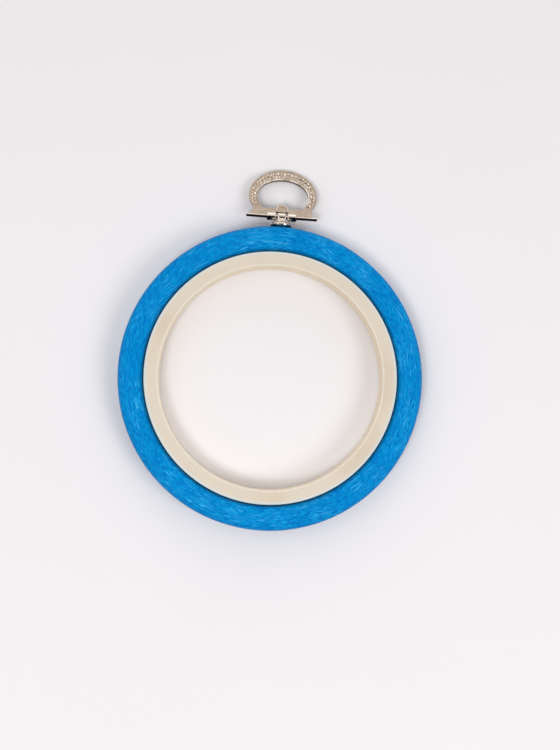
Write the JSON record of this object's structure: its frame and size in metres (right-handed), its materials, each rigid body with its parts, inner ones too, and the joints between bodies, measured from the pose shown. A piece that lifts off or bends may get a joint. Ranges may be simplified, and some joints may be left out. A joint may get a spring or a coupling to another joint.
{
  "type": "embroidery hoop",
  "caption": "Screwless embroidery hoop: a soft outer ring over a rigid lipped inner ring, with a hinged oval hanging loop on a swivelling post.",
  "frame": {"origin": "centre of the stitching opening, half way through the hoop's thickness", "axes": "+Z along the opening's axis, out of the front of the hoop; +Y from the centre to the post that carries the hanging loop; +X completes the right-handed frame and is parallel to the hinge pin"},
  "size_m": [0.102, 0.1228, 0.01],
  "materials": {
    "blue_vinyl": "satin, fine wood-grain-like streaks",
    "cream_plastic": "satin",
    "cast_champagne_metal": "matte, pebbled casting",
    "polished_metal": "polished",
    "steel": "zinc plated"
  },
  "bodies": {
    "outer_ring": {"outer_hoop": "blue_vinyl", "base_cup": "polished_metal", "screw_washer": "steel"},
    "inner_ring": {"inner_hoop": "cream_plastic"},
    "post": {"hanger_post": "polished_metal", "fixing_screw": "steel"},
    "loop": {"hanger_loop": "cast_champagne_metal", "hinge_pin": "polished_metal"}
  },
  "joints": [
    {"name": "inner_hoop_lift", "type": "slide", "parent": "outer_ring", "child": "inner_ring", "axis": [0, 0, 1], "range_m": [0, 0.012]},
    {"name": "post_swivel", "type": "hinge", "parent": "outer_ring", "child": "post", "pos_m": [0, 0.0549, 0], "axis": [0, 1, 0], "continuous": true},
    {"name": "loop_swing", "type": "hinge", "parent": "post", "child": "loop", "pos_m": [0, 0.0549, 0], "axis": [1, 0, 0], "range_deg": [-85, 114]}
  ]
}
